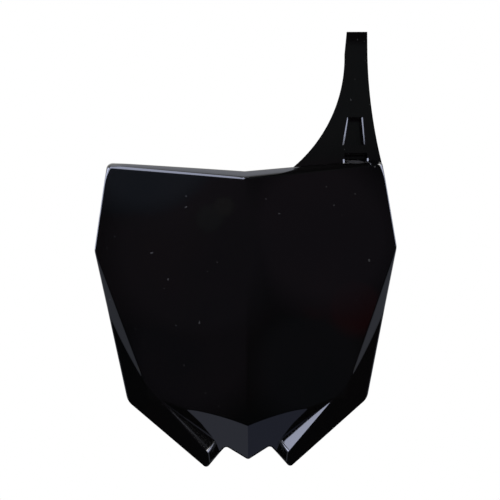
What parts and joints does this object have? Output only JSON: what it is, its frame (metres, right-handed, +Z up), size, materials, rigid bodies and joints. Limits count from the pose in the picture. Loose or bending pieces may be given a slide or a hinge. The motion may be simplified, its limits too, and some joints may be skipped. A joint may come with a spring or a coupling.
{
  "type": "motorcycle number plate",
  "caption": "Racing number board for a motocross bike: domed gloss-black plastic front plate with faceted cheeks, two prongs and a ratchet strap that loops round the handlebar.",
  "frame": {"origin": "centre of the bolt hole in the rear lug, at the collar's lower seat", "axes": "+Z up along the bolt hole, +Y to the rear of the plate, +X to the right of the plate as seen from the front"},
  "size_m": [0.242, 0.0464, 0.3491],
  "materials": {
    "plastic": "gloss black"
  },
  "bodies": {
    "root": {"number_plate": "plastic"}
  },
  "joints": []
}
